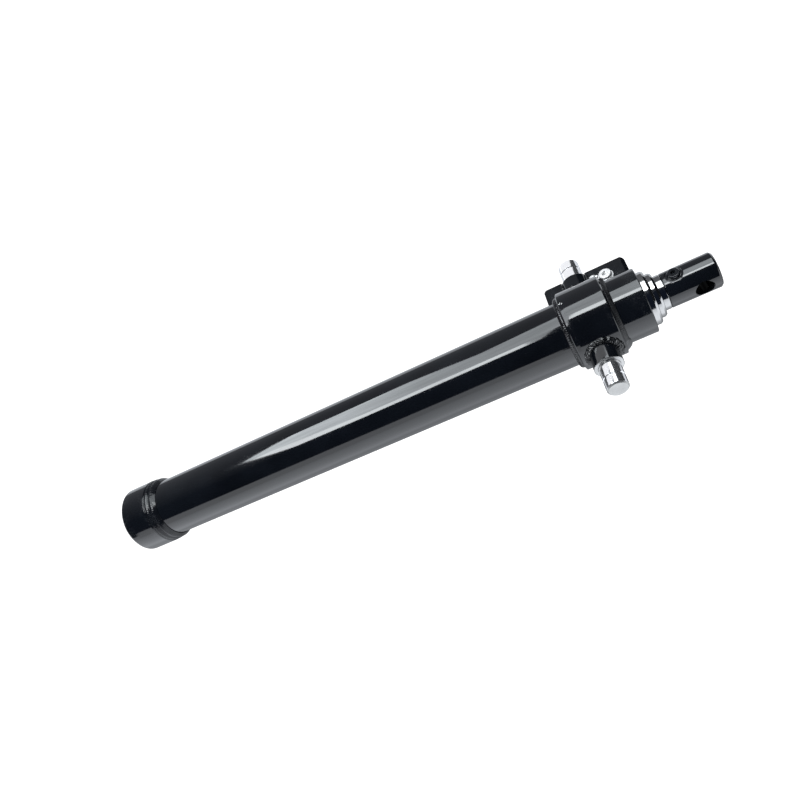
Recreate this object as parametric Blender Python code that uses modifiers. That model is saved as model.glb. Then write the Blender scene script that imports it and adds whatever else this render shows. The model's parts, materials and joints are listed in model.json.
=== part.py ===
"""Three-stage telescopic hydraulic cylinder, closed, in metres.

+X runs along the cylinder from the base to the rod eye, Y is the trunnion axis and +Z is up.
The origin is where the trunnion axis crosses the cylinder axis.
"""

import math

import bmesh
import bpy
from mathutils import Matrix, Vector

MM = 0.001
N = 32  # facets round every turned surface, so that nested pieces stay parallel
GAP = 0.3  # between touching pieces

# Tubes: outside radius, bore radius
BARREL_R, BARREL_BORE = 69.85, 62.3
STAGE_1_R, STAGE_1_BORE = 57.5, 51.3
STAGE_2_R, STAGE_2_BORE = 47.5, 41.2
PLUNGER_R, PLUNGER_BORE = 37.0, 29.0

# Head ends along X, closed
BARREL_END, STAGE_1_END, STAGE_2_END, PLUNGER_END = 115.0, 129.4, 142.0, 155.0
BARREL_START = -1130.0
CAP_END, CAP_R = -1209.0, 80.5
CAP_FACE = -1118.0
STROKE = 1080.0

# Trunnions
BAND_R, BAND_HALF = 86.0, 45.0
BOSS_R, BOSS_ROOT_R, SHOULDER_Y = 30.5, 39.0, 123.6
PIN_R, PIN_TIP_Y, PIN_ROOT_Y = 22.5, 181.0, 88.5
PIN_RING_Y = 155.0

# Port block on the +Y side
BLOCK_X0, BLOCK_X1, BLOCK_Y1, BLOCK_Z0, BLOCK_Z1 = -68.0, 112.0, 126.5, -40.0, 16.5
PORT_X, PORT_Y, PORT_R = 64.0, 90.0, 10.0

# Rod eye
EYE_END, EYE_HOLE_X, EYE_HOLE_R = 259.0, 223.1, 18.0
BLEED_X, BLEED_SEAT_Z, BLEED_SPOT_R = 180.0, 33.4, 18.5


def clear_scene():
    for obj in list(bpy.data.objects):
        bpy.data.objects.remove(obj, do_unlink=True)


clear_scene()
SCENE = bpy.context.scene
SCENE.unit_settings.system = "METRIC"
PARTS = bpy.data.collections.new("telescopic_hydraulic_cylinder")
CUTTERS = bpy.data.collections.new("cutters")
SCENE.collection.children.link(PARTS)
SCENE.collection.children.link(CUTTERS)


def material(name, colour, roughness, metallic):
    made = bpy.data.materials.new(name)
    made.use_nodes = True
    shader = made.node_tree.nodes["Principled BSDF"]
    shader.inputs["Base Color"].default_value = (*colour, 1.0)
    shader.inputs["Roughness"].default_value = roughness
    shader.inputs["Metallic"].default_value = metallic
    made.diffuse_color = (*colour, 1.0)
    made.roughness, made.metallic = roughness, metallic
    return made


PAINT = material("black_paint", (0.012, 0.014, 0.018), 0.18, 0.0)
CHROME = material("hard_chrome", (0.74, 0.75, 0.77), 0.12, 1.0)
PLATED = material("zinc_plate", (0.66, 0.67, 0.69), 0.28, 1.0)
STEEL = material("bright_steel", (0.48, 0.48, 0.50), 0.35, 1.0)
BRONZE = material("bronze", (0.60, 0.40, 0.17), 0.40, 1.0)
SEAL = material("seal_rubber", (0.03, 0.03, 0.035), 0.60, 0.0)
WIPER = material("wiper_rubber", (0.02, 0.02, 0.022), 0.55, 0.0)


def put(obj, collection=PARTS, slot=None):
    for other in list(obj.users_collection):
        other.objects.unlink(obj)
    collection.objects.link(obj)
    if slot is not None:
        obj.data.materials.clear()
        obj.data.materials.append(slot)
    if collection is CUTTERS:
        obj.hide_render = True
        obj.display_type = "WIRE"
    return obj


def frozen(obj):
    """The object's modifiers applied to its own mesh."""
    bpy.context.view_layer.update()
    graph = bpy.context.evaluated_depsgraph_get()
    mesh = bpy.data.meshes.new_from_object(obj.evaluated_get(graph))
    obj.modifiers.clear()
    old = obj.data
    obj.data = mesh
    mesh.name = obj.name
    bpy.data.meshes.remove(old)
    return obj


TO_X = Matrix(((0, 0, 1, 0), (0, 1, 0, 0), (-1, 0, 0, 0), (0, 0, 0, 1)))
TO_NEAR = Matrix(((1, 0, 0, 0), (0, 0, -1, 0), (0, 1, 0, 0), (0, 0, 0, 1)))
TO_FAR = Matrix(((1, 0, 0, 0), (0, 0, 1, 0), (0, -1, 0, 0), (0, 0, 0, 1)))


def turned(name, profile, turn=TO_X, collection=PARTS, slot=None, closed=True, steps=N, at=(0, 0, 0)):
    """A turned piece: the profile is (radius, along) in mm and runs down the outside from the top end."""
    mesh = bpy.data.meshes.new(name)
    points = [(r * MM, 0.0, z * MM) for r, z in profile]
    edges = [(i, i + 1) for i in range(len(points) - 1)]
    if closed:
        edges.append((len(points) - 1, 0))
    mesh.from_pydata(points, edges, [])
    obj = bpy.data.objects.new(name, mesh)
    put(obj, collection)
    screw = obj.modifiers.new("Screw", "SCREW")
    screw.axis = "Z"
    screw.angle = math.tau
    screw.steps = screw.render_steps = steps
    screw.use_merge_vertices = True
    screw.merge_threshold = 0.00001
    screw.use_smooth_shade = False
    frozen(obj)
    obj.data.transform(turn)
    obj.location = Vector(at) * MM
    put(obj, collection, slot)
    return obj


def ring(name, x0, x1, r_in, r_out, slot):
    return turned(name, [(r_out, x1), (r_out, x0), (r_in, x0), (r_in, x1)], slot=slot)


def rod(name, radius, start, end, steps=N, collection=CUTTERS):
    """A plain cylinder cutter between two points in mm, its facets aligned with the turned pieces."""
    a, b = Vector(start) * MM, Vector(end) * MM
    bm = bmesh.new()
    bmesh.ops.create_cone(
        bm, cap_ends=True, segments=steps, radius1=radius * MM, radius2=radius * MM, depth=(b - a).length
    )
    mesh = bpy.data.meshes.new(name)
    bm.to_mesh(mesh)
    bm.free()
    obj = bpy.data.objects.new(name, mesh)
    put(obj, collection)
    obj.data.transform(
        Matrix.Translation((a + b) / 2) @ (b - a).to_track_quat("Z", "Y").to_matrix().to_4x4()
    )
    return obj


def combine(obj, cutter, operation="DIFFERENCE"):
    boolean = obj.modifiers.new("Boolean", "BOOLEAN")
    boolean.operation = operation
    boolean.solver = "EXACT"
    boolean.object = cutter
    slots = list(obj.data.materials)
    frozen(obj)
    obj.data.materials.clear()
    for slot in slots:
        obj.data.materials.append(slot)
    return obj


def hex_socket(name, across_flats, centre, top, depth, collection=CUTTERS):
    r = across_flats / math.sqrt(3)
    x, y = centre
    return rod(name, r, (x, y, top - depth), (x, y, top + 2), steps=6, collection=collection)


def rounded_prism(name, x0, x1, y0, y1, z0, z1, radius, chamfer, slot, segments=5):
    """A box with round vertical corners and small chamfers along its top and bottom outlines."""

    def outline(inset):
        r = radius - inset
        points = []
        for cx, cy, start in (
            (x1 - radius, y1 - radius, 0.0),
            (x0 + radius, y1 - radius, 0.5 * math.pi),
            (x0 + radius, y0 + radius, math.pi),
            (x1 - radius, y0 + radius, 1.5 * math.pi),
        ):
            for i in range(segments + 1):
                angle = start + 0.5 * math.pi * i / segments
                points.append((cx + r * math.cos(angle), cy + r * math.sin(angle)))
        return points

    rings = [(z0, chamfer), (z0 + chamfer, 0.0), (z1 - chamfer, 0.0), (z1, chamfer)]
    bm = bmesh.new()
    loops = []
    for z, inset in rings:
        loops.append([bm.verts.new((px * MM, py * MM, z * MM)) for px, py in outline(inset)])
    count = len(loops[0])
    for low, high in zip(loops, loops[1:]):
        for i in range(count):
            j = (i + 1) % count
            bm.faces.new((low[i], low[j], high[j], high[i]))
    bm.faces.new(list(reversed(loops[0])))
    bm.faces.new(loops[-1])
    bmesh.ops.recalc_face_normals(bm, faces=bm.faces)
    mesh = bpy.data.meshes.new(name)
    bm.to_mesh(mesh)
    bm.free()
    obj = bpy.data.objects.new(name, mesh)
    return put(obj, PARTS, slot)


# ---------------------------------------------------------------- heads
# One head is the same stack in each outer tube, measured back from the tube's end.
STOP_LEFT, STOP_RIGHT = 89.0, 83.0
BUSH_LEFT, BUSH_RIGHT = 82.6, 43.0
SEAL_LEFT, SEAL_RIGHT = 42.6, 26.4
KEEP_LEFT, KEEP_RIGHT = 26.0, 22.0
WIPER_LEFT = 21.6
STOP_DEPTH, KEEP_DEPTH = 2.6, 2.3


def head_bore(end, bore):
    """The bore side of a head, from inside the tube out to its mouth."""
    return [
        (bore, end - STOP_LEFT - GAP),
        (bore + STOP_DEPTH, end - STOP_LEFT - GAP),
        (bore + STOP_DEPTH, end - STOP_RIGHT + GAP),
        (bore, end - STOP_RIGHT + GAP),
        (bore, end - KEEP_LEFT - GAP),
        (bore + KEEP_DEPTH, end - KEEP_LEFT - GAP),
        (bore + KEEP_DEPTH, end - KEEP_RIGHT + GAP),
        (bore, end - KEEP_RIGHT + GAP),
        (bore, end - 1.2),
        (bore + 1.2, end),
    ]


def head_pieces(number, end, bore, rod_r):
    r_in, r_out = rod_r + GAP, bore - GAP
    stop = ring(
        f"head_stop_ring_{number}", end - STOP_LEFT, end - STOP_RIGHT, bore - 2.4, bore + STOP_DEPTH - GAP, STEEL
    )
    sleeve = [(r_out, end - BUSH_RIGHT), (r_out, end - BUSH_LEFT), (r_in, end - BUSH_LEFT), (r_in, end - BUSH_RIGHT)]
    if number == 1:  # an oil groove under the port
        sleeve[1:1] = [(r_out, end - 45), (r_out - 1.8, end - 45), (r_out - 1.8, end - 57), (r_out, end - 57)]
    bush = turned(f"head_guide_bush_{number}", sleeve, slot=BRONZE)
    seal = turned(
        f"rod_seal_{number}",
        [
            (r_out, end - SEAL_RIGHT),
            (r_out, end - SEAL_LEFT),
            ((r_in + r_out) / 2, end - SEAL_LEFT + 5.0),
            (r_in, end - SEAL_LEFT),
            (r_in, end - SEAL_RIGHT),
        ],
        slot=SEAL,
    )
    keep = ring(
        f"head_retaining_ring_{number}", end - KEEP_LEFT, end - KEEP_RIGHT, bore - 2.2, bore + KEEP_DEPTH - GAP, STEEL
    )
    wiper = turned(
        f"wiper_{number}",
        [
            (r_in + 1.3, end + 0.8),
            (r_in + 2.1, end - 1.2),
            (r_out, end - 1.8),
            (r_out, end - WIPER_LEFT),
            (r_in, end - WIPER_LEFT),
            (r_in, end + 0.8),
        ],
        slot=WIPER,
    )
    return [stop, bush, seal, keep, wiper]


def base_lines(start, head_end):
    """Where a moving tube's guide ring and stop collar lie: (guide low, guide high, collar low, collar high)."""
    front = head_end - STOP_LEFT - 0.5 - STROKE
    return start + 8.0, start + 38.0, front - 12.0, front


def base_pieces(number, lines, tube_r, bore):
    g0, g1, c0, c1 = lines
    guide = ring(f"base_guide_ring_{number}", g0, g1, tube_r - 1.2 + GAP, bore - GAP, BRONZE)
    collar = ring(f"stop_collar_{number}", c0, c1, tube_r - 1.7 + GAP, bore - GAP, STEEL)
    return [guide, collar]


def tube_outside(end, start, radius, lines, bevel_r, bevel_x):
    g0, g1, c0, c1 = lines
    return [
        (radius - bevel_r, end),
        (radius, end - bevel_x),
        (radius, c1 + GAP),
        (radius - 1.7, c1 + GAP),
        (radius - 1.7, c0 - GAP),
        (radius, c0 - GAP),
        (radius, g1 + GAP),
        (radius - 1.2, g1 + GAP),
        (radius - 1.2, g0 - GAP),
        (radius, g0 - GAP),
        (radius, start + 1.5),
        (radius - 1.5, start),
    ]


STAGE_1_START = CAP_FACE + GAP
LIP = 12.0
STAGE_2_START = STAGE_1_START + LIP + GAP
PLUNGER_START = STAGE_2_START + LIP + GAP

# ---------------------------------------------------------------- barrel
barrel = turned(
    "barrel_tube",
    [
        (BARREL_R - 1.6, BARREL_END),
        (BARREL_R, BARREL_END - 1.6),
        (BARREL_R, BARREL_START),
        (BARREL_BORE, BARREL_START),
    ]
    + head_bore(BARREL_END, BARREL_BORE),
    slot=PAINT,
)
oil_way = rod("oil_way_cutter", 4.5, (PORT_X, 50, -5), (PORT_X, PORT_Y, -5), steps=16)
combine(barrel, oil_way)

base_cap = turned(
    "base_cap",
    [
        (BARREL_R + GAP, -1103.0),
        (71.4, -1103.0),
        (74.2, -1107.0),
        (77.0, -1111.0),
        (78.6, -1114.5),
        (78.8, -1117.5),
        (77.6, -1120.5),
        (77.6, -1121.5),
        (79.4, -1124.5),
        (80.2, -1128.0),
        (79.6, -1131.0),
        (79.2, -1132.2),
        (CAP_R, -1133.6),
        (CAP_R, CAP_END + 7.5),
        (CAP_R - 1.2, CAP_END + 4.0),
        (CAP_R - 3.6, CAP_END + 1.2),
        (CAP_R - 7.0, CAP_END),
        (0.0, CAP_END),
        (0.0, CAP_FACE),
        (59.8, CAP_FACE),
        (BARREL_BORE - GAP, CAP_FACE - 2.2),
        (BARREL_BORE - GAP, BARREL_START - GAP),
        (BARREL_R + GAP, BARREL_START - GAP),
    ],
    slot=PAINT,
)

trunnion_band = turned(
    "trunnion_band",
    [
        (BARREL_R + GAP, 57.0),
        (71.6, 57.0),
        (74.6, 54.0),
        (79.0, 49.2),
        (82.2, 45.8),
        (84.2, 45.0),
        (BAND_R, 43.2),
        (BAND_R, -43.2),
        (84.2, -45.0),
        (82.2, -45.8),
        (79.0, -49.2),
        (74.6, -54.0),
        (71.6, -57.0),
        (BARREL_R + GAP, -57.0),
    ],
    slot=PAINT,
)

BOSS_PROFILE = [
    (BOSS_R - 2.0, SHOULDER_Y),
    (BOSS_R, SHOULDER_Y - 2.0),
    (BOSS_R, 100.5),
    (32.2, 96.0),
    (34.8, 91.5),
    (BOSS_ROOT_R, 87.5),
    (BOSS_ROOT_R, 60.0),
    (PIN_R + GAP, 60.0),
]
PIN_PROFILE = [
    (0.0, PIN_TIP_Y),
    (PIN_R - 3.0, PIN_TIP_Y),
    (PIN_R - 0.8, PIN_TIP_Y - 1.4),
    (PIN_R, PIN_TIP_Y - 3.6),
    (PIN_R, PIN_RING_Y + 1.3),
    (PIN_R - 1.2, PIN_RING_Y),
    (PIN_R, PIN_RING_Y - 1.3),
    (PIN_R, PIN_ROOT_Y),
    (0.0, PIN_ROOT_Y),
]
band_cutter = turned(
    "band_cutter",
    [(0.0, 57.4), (BAND_R + GAP, 57.4), (BAND_R + GAP, -57.4), (0.0, -57.4)],
    collection=CUTTERS,
    closed=False,
)
bosses, pins = [], []
for side, turn in (("near", TO_NEAR), ("far", TO_FAR)):
    boss = turned(
        f"trunnion_boss_{side}",
        BOSS_PROFILE + [(PIN_R + GAP, SHOULDER_Y)],
        turn=turn,
        slot=PAINT,
    )
    combine(boss, band_cutter)
    bosses.append(boss)
    pins.append(turned(f"trunnion_pin_{side}", PIN_PROFILE, turn=turn, slot=PLATED, closed=False))

port_block = rounded_prism(
    "port_block", BLOCK_X0, BLOCK_X1, 30.0, BLOCK_Y1, BLOCK_Z0, BLOCK_Z1, 9.0, 1.5, PAINT
)
barrel_cutter = turned(
    "barrel_cutter",
    [(0.0, 131.0), (BARREL_R + GAP, 131.0), (BARREL_R + GAP, -91.0), (0.0, -91.0)],
    collection=CUTTERS,
    closed=False,
)
boss_cutter = turned(
    "boss_cutter",
    [
        (0.0, 140.0),
        (BOSS_R + GAP, 140.0),
        (BOSS_R + GAP, 100.5),
        (32.5, 96.0),
        (35.1, 91.5),
        (BOSS_ROOT_R + GAP, 87.5),
        (BOSS_ROOT_R + GAP, 50.0),
        (0.0, 50.0),
    ],
    turn=TO_FAR,
    collection=CUTTERS,
    closed=False,
)
port_bore = rod("port_bore_cutter", PORT_R, (PORT_X, PORT_Y, -12), (PORT_X, PORT_Y, 20), steps=24)
slope_mesh = bpy.data.meshes.new("slope_cutter")
slope_mesh.from_pydata(
    [
        (px * MM, py * MM, pz * MM)
        for py in (20.0, 140.0)
        for px, pz in ((BLOCK_X1 - 9.0, BLOCK_Z1 + 0.6), (BLOCK_X1 + 2.0, BLOCK_Z1 + 0.6), (BLOCK_X1 + 2.0, BLOCK_Z1 - 8.0))
    ],
    [],
    [(0, 1, 2), (5, 4, 3), (0, 3, 4, 1), (1, 4, 5, 2), (2, 5, 3, 0)],
)
slope_bm = bmesh.new()
slope_bm.from_mesh(slope_mesh)
bmesh.ops.recalc_face_normals(slope_bm, faces=slope_bm.faces)
slope_bm.to_mesh(slope_mesh)
slope_bm.free()
slope = put(bpy.data.objects.new("slope_cutter", slope_mesh), CUTTERS)
for cutter in (band_cutter, barrel_cutter, boss_cutter, port_bore, oil_way, slope):
    combine(port_block, cutter)

SEAT_Z = BLOCK_Z1 + GAP
port_washer = turned(
    "port_seal_washer",
    [(16.1, SEAT_Z + 1.8), (16.5, SEAT_Z + 1.4), (16.5, SEAT_Z + 0.4), (16.1, SEAT_Z), (10.5, SEAT_Z), (10.5, SEAT_Z + 1.8)],
    turn=Matrix.Identity(4),
    slot=STEEL,
    steps=32,
    at=(PORT_X, PORT_Y, 0),
)
plug_top = SEAT_Z + 1.8 + GAP + 8.0
port_plug = turned(
    "port_plug",
    [
        (0.0, plug_top),
        (12.2, plug_top),
        (13.6, plug_top - 1.4),
        (13.6, plug_top - 5.0),
        (14.8, plug_top - 5.6),
        (14.8, plug_top - 8.0),
        (PORT_R - GAP, plug_top - 8.0),
        (PORT_R - GAP, -2.0),
        (PORT_R - 1.6, -4.0),
        (0.0, -4.0),
    ],
    turn=Matrix.Identity(4),
    slot=PLATED,
    closed=False,
    steps=32,
    at=(PORT_X, PORT_Y, 0),
)
combine(port_plug, hex_socket("port_hex_cutter", 12.0, (PORT_X, PORT_Y), plug_top, 7.0))

# ---------------------------------------------------------------- stage 1
lines_1 = base_lines(STAGE_1_START, BARREL_END)
stage_1 = turned(
    "stage_1_tube",
    tube_outside(STAGE_1_END, STAGE_1_START, STAGE_1_R, lines_1, 3.2, 4.6)
    + [
        (STAGE_1_BORE - 6.0, STAGE_1_START),
        (STAGE_1_BORE - 6.0, STAGE_1_START + LIP),
        (STAGE_1_BORE, STAGE_1_START + LIP),
    ]
    + head_bore(STAGE_1_END, STAGE_1_BORE),
    slot=CHROME,
)
lines_2 = base_lines(STAGE_2_START, STAGE_1_END)
stage_2 = turned(
    "stage_2_tube",
    tube_outside(STAGE_2_END, STAGE_2_START, STAGE_2_R, lines_2, 3.2, 4.6)
    + [
        (STAGE_2_BORE - 6.0, STAGE_2_START),
        (STAGE_2_BORE - 6.0, STAGE_2_START + LIP),
        (STAGE_2_BORE, STAGE_2_START + LIP),
    ]
    + head_bore(STAGE_2_END, STAGE_2_BORE),
    slot=CHROME,
)
lines_3 = base_lines(PLUNGER_START, STAGE_2_END)
plunger = turned(
    "plunger_tube",
    tube_outside(PLUNGER_END, PLUNGER_START, PLUNGER_R, lines_3, 1.0, 1.2)
    + [(PLUNGER_BORE, PLUNGER_START), (PLUNGER_BORE, PLUNGER_END - 1.0), (PLUNGER_BORE + 1.0, PLUNGER_END)],
    slot=CHROME,
)

moving_1 = [stage_1] + base_pieces(1, lines_1, STAGE_1_R, BARREL_BORE)
moving_2 = [stage_2] + base_pieces(2, lines_2, STAGE_2_R, STAGE_1_BORE)
moving_3 = [plunger] + base_pieces(3, lines_3, PLUNGER_R, STAGE_2_BORE)
fixed_head = head_pieces(1, BARREL_END, BARREL_BORE, STAGE_1_R)
moving_1 += head_pieces(2, STAGE_1_END, STAGE_1_BORE, STAGE_2_R)
moving_2 += head_pieces(3, STAGE_2_END, STAGE_2_BORE, PLUNGER_R)

# ---------------------------------------------------------------- rod eye
rod_eye = turned(
    "rod_eye",
    [
        (0.0, EYE_END),
        (PLUNGER_R - 4.0, EYE_END),
        (PLUNGER_R - 1.6, EYE_END - 0.8),
        (PLUNGER_R - 0.4, EYE_END - 2.2),
        (PLUNGER_R, EYE_END - 4.0),
        (PLUNGER_R, PLUNGER_END + 1.6),
        (PLUNGER_R - 1.2, PLUNGER_END + GAP),
        (PLUNGER_BORE - GAP, PLUNGER_END + GAP),
        (PLUNGER_BORE - GAP, PLUNGER_END - 31.0),
        (PLUNGER_BORE - 2.0, PLUNGER_END - 33.0),
        (0.0, PLUNGER_END - 33.0),
    ],
    slot=PAINT,
    closed=False,
)
eye_cutter = turned(
    "eye_cutter",
    [
        (0.0, 50.0),
        (EYE_HOLE_R, 50.0),
        (EYE_HOLE_R, -50.0),
        (0.0, -50.0),
    ],
    turn=TO_NEAR,
    collection=CUTTERS,
    closed=False,
    at=(EYE_HOLE_X, 0, 0),
)
for cutter in (
    eye_cutter,
    rod("bleed_spot_cutter", BLEED_SPOT_R, (BLEED_X, 0, BLEED_SEAT_Z), (BLEED_X, 0, 50), steps=32),
    rod("bleed_bore_cutter", 9.0, (BLEED_X, 0, 13), (BLEED_X, 0, 40), steps=24),
    rod("bleed_drill_cutter", 3.0, (BLEED_X, 0, 0), (BLEED_X, 0, 20), steps=12),
    rod("bleed_way_cutter", 2.5, (100, 0, 1.5), (BLEED_X + 1, 0, 1.5), steps=12),
):
    combine(rod_eye, cutter)

bleed_washer = turned(
    "bleed_washer",
    [
        (14.0, BLEED_SEAT_Z + GAP + 1.6),
        (14.4, BLEED_SEAT_Z + GAP + 1.2),
        (14.4, BLEED_SEAT_Z + GAP + 0.4),
        (14.0, BLEED_SEAT_Z + GAP),
        (9.3, BLEED_SEAT_Z + GAP),
        (9.3, BLEED_SEAT_Z + GAP + 1.6),
    ],
    turn=Matrix.Identity(4),
    slot=STEEL,
    steps=32,
    at=(BLEED_X, 0, 0),
)
bleed_low = BLEED_SEAT_Z + 2 * GAP + 1.6
bleed_top = bleed_low + 6.6
bleed_plug = turned(
    "bleed_plug",
    [
        (0.0, bleed_top),
        (11.2, bleed_top),
        (12.6, bleed_top - 1.4),
        (12.6, bleed_low),
        (9.0 - GAP, bleed_low),
        (9.0 - GAP, 18.0),
        (7.4, 16.0),
        (0.0, 16.0),
    ],
    turn=Matrix.Identity(4),
    slot=PAINT,
    closed=False,
    steps=32,
    at=(BLEED_X, 0, 0),
)
combine(bleed_plug, hex_socket("bleed_hex_cutter", 10.0, (BLEED_X, 0), bleed_top, 6.0))
moving_3 += [rod_eye, bleed_washer, bleed_plug]


# ---------------------------------------------------------------- joint frames
def carrier(name, x, pieces):
    """An empty on the cylinder axis that carries what moves together."""
    empty = bpy.data.objects.new(name, None)
    empty.empty_display_size = 0.05
    empty.location = (x * MM, 0.0, 0.0)
    PARTS.objects.link(empty)
    bpy.context.view_layer.update()
    for piece in pieces:
        piece.parent = empty
        piece.matrix_parent_inverse = empty.matrix_world.inverted()
    return empty


frame_1 = carrier("stage_1_axis", BARREL_END, moving_1)
frame_2 = carrier("stage_2_axis", STAGE_1_END, moving_2)
frame_3 = carrier("plunger_axis", STAGE_2_END, moving_3)
for child, parent in ((frame_2, frame_1), (frame_3, frame_2)):
    child.parent = parent
    child.matrix_parent_inverse = parent.matrix_world.inverted()

bpy.context.view_layer.update()
for obj in PARTS.objects:
    if obj.type == "MESH":
        obj.data.polygons.foreach_set("use_smooth", [True] * len(obj.data.polygons))
        obj.data.set_sharp_from_angle(angle=math.radians(28.0))
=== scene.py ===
"""Looks for the closed telescopic hydraulic cylinder. Works in the row frame, in metres:
+X from the base cap to the rod eye, Y along the trunnions, +Z up."""

import json
import math

import bmesh
import bpy
import numpy as np
from mathutils import Matrix, Vector, noise

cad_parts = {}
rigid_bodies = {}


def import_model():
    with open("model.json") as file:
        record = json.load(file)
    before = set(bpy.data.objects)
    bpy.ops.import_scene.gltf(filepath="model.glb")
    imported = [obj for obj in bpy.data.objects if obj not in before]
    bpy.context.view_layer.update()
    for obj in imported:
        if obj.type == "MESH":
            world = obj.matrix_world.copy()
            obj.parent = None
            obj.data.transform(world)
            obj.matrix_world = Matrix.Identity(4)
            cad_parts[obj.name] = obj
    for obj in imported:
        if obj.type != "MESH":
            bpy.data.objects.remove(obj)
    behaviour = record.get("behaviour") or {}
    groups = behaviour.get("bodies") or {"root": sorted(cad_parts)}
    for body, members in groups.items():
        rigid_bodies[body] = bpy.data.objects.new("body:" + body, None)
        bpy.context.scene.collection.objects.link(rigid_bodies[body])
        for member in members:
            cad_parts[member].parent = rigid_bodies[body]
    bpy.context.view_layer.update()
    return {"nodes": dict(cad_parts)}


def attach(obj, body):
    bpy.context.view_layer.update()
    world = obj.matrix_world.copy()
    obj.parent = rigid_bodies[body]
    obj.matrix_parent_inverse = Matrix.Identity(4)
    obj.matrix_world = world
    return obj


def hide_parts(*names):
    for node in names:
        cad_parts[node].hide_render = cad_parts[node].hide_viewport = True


for _o in list(bpy.data.objects):
    bpy.data.objects.remove(_o, do_unlink=True)

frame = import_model()
NODES = frame["nodes"]
MM = 0.001

# ------------------------------------------------------------------ sizes (mm), as in the CAD
BARREL_R, BARREL_BORE = 69.85, 62.3
S1_R, S1_BORE = 57.5, 51.3
S2_R, S2_BORE = 47.5, 41.2
PL_R, PL_BORE = 37.0, 29.0
BARREL_END, S1_END, S2_END, PL_END = 115.0, 129.4, 142.0, 155.0
BARREL_START, CAP_END, CAP_R = -1130.0, -1209.0, 80.5
BAND_R = 86.0
BOSS_R, SHOULDER = 30.5, 123.6
PIN_R, PIN_TIP, PIN_ROOT, PIN_RING = 22.5, 181.0, 88.5, 155.0
EYE_END, EYE_X, EYE_R = 259.0, 223.1, 18.0
BLEED_X, SEAT_Z = 180.0, 33.4
PORT_X, PORT_Y, PORT_R = 64.0, 90.0, 10.0
BLOCK = (-68.0, 112.0, 126.5, -40.0, 16.5)

COLL = bpy.data.collections.new("looks")
bpy.context.scene.collection.children.link(COLL)
HELPERS = bpy.data.collections.new("helpers")
bpy.context.scene.collection.children.link(HELPERS)


# ------------------------------------------------------------------ materials
def new_material(name):
    m = bpy.data.materials.new(name)
    m.use_nodes = True
    nt = m.node_tree
    for n in list(nt.nodes):
        nt.nodes.remove(n)
    out = nt.nodes.new("ShaderNodeOutputMaterial")
    shader = nt.nodes.new("ShaderNodeBsdfPrincipled")
    nt.links.new(shader.outputs["BSDF"], out.inputs["Surface"])
    return m, nt, shader


def node(nt, kind, **values):
    n = nt.nodes.new(kind)
    for key, value in values.items():
        if key in n.inputs.keys():
            n.inputs[key].default_value = value
        else:
            setattr(n, key, value)
    return n


def coords(nt, scale=(1.0, 1.0, 1.0)):
    tc = node(nt, "ShaderNodeTexCoord")
    mp = node(nt, "ShaderNodeMapping")
    mp.inputs["Scale"].default_value = scale
    nt.links.new(tc.outputs["Object"], mp.inputs["Vector"])
    return mp.outputs["Vector"]


def noise_tex(nt, vector, scale, detail=4.0, rough=0.55):
    n = node(nt, "ShaderNodeTexNoise", Scale=scale, Detail=detail, Roughness=rough)
    nt.links.new(vector, n.inputs["Vector"])
    return n.outputs["Fac"]


def ramp(nt, fac, stops):
    r = node(nt, "ShaderNodeValToRGB")
    el = r.color_ramp.elements
    while len(el) > 2:
        el.remove(el[-1])
    for i, (pos, colour) in enumerate(stops):
        if i < 2:
            el[i].position = pos
        else:
            el.new(pos)
        el[i].color = (*colour, 1.0) if len(colour) == 3 else colour
    nt.links.new(fac, r.inputs["Fac"])
    return r.outputs["Color"]


def grey(nt, fac, lo_pos, hi_pos, lo, hi):
    return ramp(nt, fac, [(lo_pos, (lo, lo, lo)), (hi_pos, (hi, hi, hi))])


def mix(nt, fac, a, b):
    m = node(nt, "ShaderNodeMix", data_type="RGBA")
    for value, socket in ((fac, m.inputs[0]), (a, m.inputs[6]), (b, m.inputs[7])):
        if isinstance(value, bpy.types.NodeSocket):
            nt.links.new(value, socket)
        elif isinstance(value, (int, float)):
            socket.default_value = value
        else:
            socket.default_value = (*value, 1.0)
    return m.outputs[2]


def math_node(nt, op, a, b=None, clamp=False):
    m = node(nt, "ShaderNodeMath", operation=op, use_clamp=clamp)
    for value, socket in ((a, m.inputs[0]), (b, m.inputs[1])):
        if value is None:
            continue
        if isinstance(value, bpy.types.NodeSocket):
            nt.links.new(value, socket)
        else:
            socket.default_value = value
    return m.outputs[0]


def attribute(nt, name):
    a = node(nt, "ShaderNodeAttribute", attribute_name=name)
    a.attribute_type = "GEOMETRY"
    return a.outputs["Fac"]


def bump(nt, shader, height, strength, distance):
    b = node(nt, "ShaderNodeBump", Strength=strength, Distance=distance)
    nt.links.new(height, b.inputs["Height"])
    nt.links.new(b.outputs["Normal"], shader.inputs["Normal"])
    return b


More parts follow.
